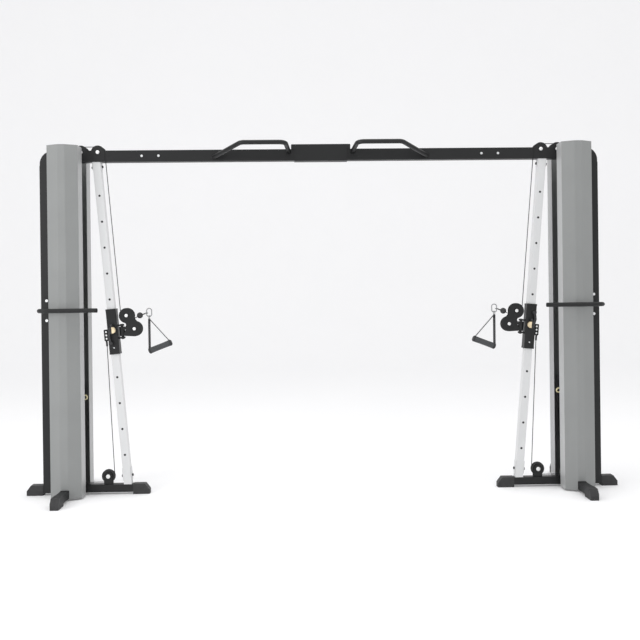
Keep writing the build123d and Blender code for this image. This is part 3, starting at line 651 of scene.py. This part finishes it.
def carriage_covers(name, side):
    """The pale boss and half cover of the lever's pivot, the anchor's three dots and the sleeve's screw."""
    front = -SLEEVE_HALF - 0.008
    boss = on_column(side, 0, front, BOSS_ALONG)
    profile = [(-0.0075, 0.0215), (0.0002, 0.0215), (0.0006, 0.0205), (0.0007, 0.006)]
    disc = mesh_piece(f"{name}_pale_boss", lambda bm: add_lathe(bm, boss, (0, -1, 0), profile, 64), CREAM,
                      f"{name}_carriage")
    for index, step in enumerate((-0.022, 0, 0.022)):
        spot = on_column(side, 0.006 - ANCHOR_OFFSET, -0.018, ANCHOR_ALONG + step)
        dome_cap(f"{name}_anchor_dot_{index}", spot, 0.0062, 0.0018, f"{name}_carriage", WHITE_CAP)
    screw = on_column(side, 0, -SLEEVE_HALF, BOSS_ALONG - 0.116)
    dome_cap(f"{name}_sleeve_screw", screw, 0.0045, 0.0015, f"{name}_carriage", PAINT["bolt_steel"])
    cover = mesh_piece(f"{name}_half_cover", lambda bm: add_half_disc(bm, side, front - 0.0202), CREAM,
                       f"{name}_carriage", smooth=False)
    bevelled(cover, 0.0006)


def tab_bolts(name, side):
    """The black bolt heads on the 5 mm tabs beside the column's two ends."""
    flank = COLUMN_HALF + 0.005
    profile = [(-0.0002, 0.0088), (0.0060, 0.0088), (0.0078, 0.0070), (0.0080, 0.0012)]
    for end, along in (("top", 2.080), ("foot", 0.040)):
        for way in (-1, 1):
            seat = on_column(side, way * flank, 0, along)
            outward = (on_column(side, way * (flank + 0.010), 0, along) - seat).normalized()
            bolt = mesh_piece(f"{name}_{end}_tab_bolt_{'in' if way > 0 else 'out'}",
                              lambda bm: add_lathe(bm, seat, outward, profile, 24),
                              PAINT["black_plastic"], "frame")


def pin_knob(name, side):
    """The black cover on the knob of the carriage's lock pin."""
    knob = on_column(side, 0, -SLEEVE_HALF - 0.0245, PIN_ALONG)
    profile = [(-0.0078, 0.0084), (-0.0004, 0.0084), (0.0006, 0.0074), (0.0010, 0.0010)]
    cover = mesh_piece(f"{name}_pin_knob_cover", lambda bm: add_lathe(bm, knob, (0, -1, 0), profile, 32),
                       PAINT["black_plastic"], f"{name}_pin")


def hole_shade_plugs(name, side):
    """One piece that holds the painted shade in all the column's lock holes: dark plugs standing in for the
    shadow inside them.
    """
    shade_plugs = mesh_piece(f"{name}_hole_liners", lambda bm: add_hole_shade_plugs(bm, side), PAINT["black_plastic"],
                        "frame")


def pull_ring(name, side):
    """The coated ring on the selector pin's outer end."""
    low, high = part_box(f"{name}_selector_pin")
    edge = low.x if side > 0 else high.x
    ring_centre = Vector((edge + side * 0.0175, 0, (low.z + high.z) / 2))
    ring = mesh_piece(f"{name}_pull_ring", lambda bm: add_torus(bm, ring_centre, 0.0135, 0.0046), RING_YELLOW,
                      f"{name}_selector")


def add_hole_shade_plugs(bm, side):
    """Dark flanged plugs, closed at the back, in the column's row of lock holes: painted shade where the
    holes' insides fall in shadow.
    """
    first = PIN_ALONG - 5 * HOLE_PITCH
    profile = [(-0.0144, 0.0004), (-0.0142, 0.00545), (0.0, 0.00545), (0.0, 0.0074), (0.00025, 0.0072),
               (0.00025, 0.0052), (-0.0138, 0.0052), (-0.0140, 0.0004)]
    for index in range(HOLE_COUNT):
        mouth = on_column(side, 0, -COLUMN_HALF, first + index * HOLE_PITCH)
        add_lathe(bm, mouth, (0, -1, 0), profile, 24)


def add_half_disc(bm, side, front):
    """A D-shaped cover on the lever's pivot, round towards the middle of the machine."""
    radius = 0.0205
    thickness = 0.0020
    outline = []
    for step in range(33):
        angle = math.radians(-90 + 180 * step / 32)
        outline.append((0.001 + radius * math.cos(angle), BOSS_ALONG + radius * math.sin(angle)))
    near = [bm.verts.new(on_column(side, inward, front - thickness, along)) for inward, along in outline]
    far = [bm.verts.new(on_column(side, inward, front, along)) for inward, along in outline]
    bm.faces.new(near)
    bm.faces.new(list(reversed(far)))
    join_rings(bm, near, far)


def add_torus(bm, centre, major, minor, around=48, section=16):
    """A ring of round bar that faces the user."""
    rings = []
    for index in range(around):
        turn = 2 * math.pi * index / around
        out = Vector((math.cos(turn), 0, math.sin(turn)))
        rings.append([bm.verts.new(centre + out * (major + a) + Vector((0, b, 0)))
                      for a, b in circle_outline(minor, section)])
    for index in range(around):
        join_rings(bm, rings[index], rings[(index + 1) % around])


# ---------------------------------------------------------------- stage, light and camera
def soft_material(name, colour):
    """A pale matt stage surface with a barely visible mottle and a faint glow of its own."""
    m = Nodes(name)
    low, high = shades(colour, 0.01)
    m.put(m.shader, "Base Color", m.ramp(m.noise(1.5, 3), low, high))
    m.shader.inputs["Roughness"].default_value = 0.9
    m.shader.inputs["Emission Color"].default_value = (1, 1, 1, 1)
    m.shader.inputs["Emission Strength"].default_value = 0.07
    return m.material


def backdrop():
    """A pale floor that sweeps up into a wall well behind the machine."""
    near = -12
    depth = 9.0
    radius = 4.0
    height = 12
    half = 26.0
    steps = 16
    section = [Vector((0, near, 0)), Vector((0, depth, 0))]
    for index in range(1, steps + 1):
        angle = math.radians(90) * index / steps
        section.append(Vector((0, depth + radius * math.sin(angle), radius * (1 - math.cos(angle)))))
    section.append(Vector((0, depth + radius, height)))

    def build(bm):
        rows = [[bm.verts.new(point + Vector((x, 0, 0))) for point in section] for x in (-half, half)]
        for index in range(len(section) - 1):
            bm.faces.new((rows[0][index], rows[1][index], rows[1][index + 1], rows[0][index + 1]))

    floor = mesh_piece("studio_floor", build, soft_material("studio_white", (0.93, 0.93, 0.94)))


def area_light(name, place, target, size, power):
    """A rectangular soft box aimed at a point."""
    light = bpy.data.lights.new(name, "AREA")
    light.shape = "RECTANGLE"
    light.size, light.size_y = size
    light.energy = power
    lamp = bpy.data.objects.new(name, light)
    bpy.context.collection.objects.link(lamp)
    lamp.location = place
    lamp.rotation_euler = (Vector(target) - Vector(place)).to_track_quat("-Z", "Y").to_euler()


def studio():
    """Soft light from all round, a little stronger from above and from the left."""
    world = bpy.data.worlds.new("studio")
    bpy.context.scene.world = world
    world.use_nodes = True
    world.node_tree.nodes["Background"].inputs["Color"].default_value = (1, 1, 1, 1)
    world.node_tree.nodes["Background"].inputs["Strength"].default_value = 0.85
    area_light("top", (0, -1.0, 5.0), (0, 0.5, 0), (7, 4), 90)
    area_light("left", (-5.5, -4.5, 2.4), (-0.6, 0, 1.1), (3, 3), 120)
    area_light("right", (6.5, -2.5, 2.4), (1.2, 0, 1.1), (3, 3), 10)
    view = bpy.context.scene.view_settings
    view.view_transform = "Standard"
    view.exposure = 0.0


def camera():
    """A camera in front of the machine at chest height, looking almost straight at it."""
    place = (-0.146, -5.264, 1.273)
    lens = bpy.data.cameras.new("camera")
    lens.lens = 44.6
    lens.sensor_width = 36
    lens.shift_y = -0.0332
    lens.clip_end = 100
    eye = bpy.data.objects.new("camera", lens)
    bpy.context.collection.objects.link(eye)
    yaw, pitch, roll = (math.radians(angle) for angle in (1.414, -0.05, -0.704))
    forward = Vector((math.sin(yaw) * math.cos(pitch), math.cos(yaw) * math.cos(pitch), math.sin(pitch)))
    flat_right = Vector((math.cos(yaw), -math.sin(yaw), 0))
    flat_up = flat_right.cross(forward)
    right = flat_right * math.cos(roll) + flat_up * math.sin(roll)
    up = flat_up * math.cos(roll) - flat_right * math.sin(roll)
    turn = Matrix((right, up, -forward)).transposed()
    eye.matrix_world = Matrix.Translation(place) @ turn.to_4x4()
    bpy.context.scene.camera = eye


dress_cad_nodes()
for tower, tower_side in SIDES:
    tower_cables(tower, tower_side)
    hand_grip(tower, tower_side)
    tower_fittings(tower, tower_side)
backdrop()
studio()
camera()
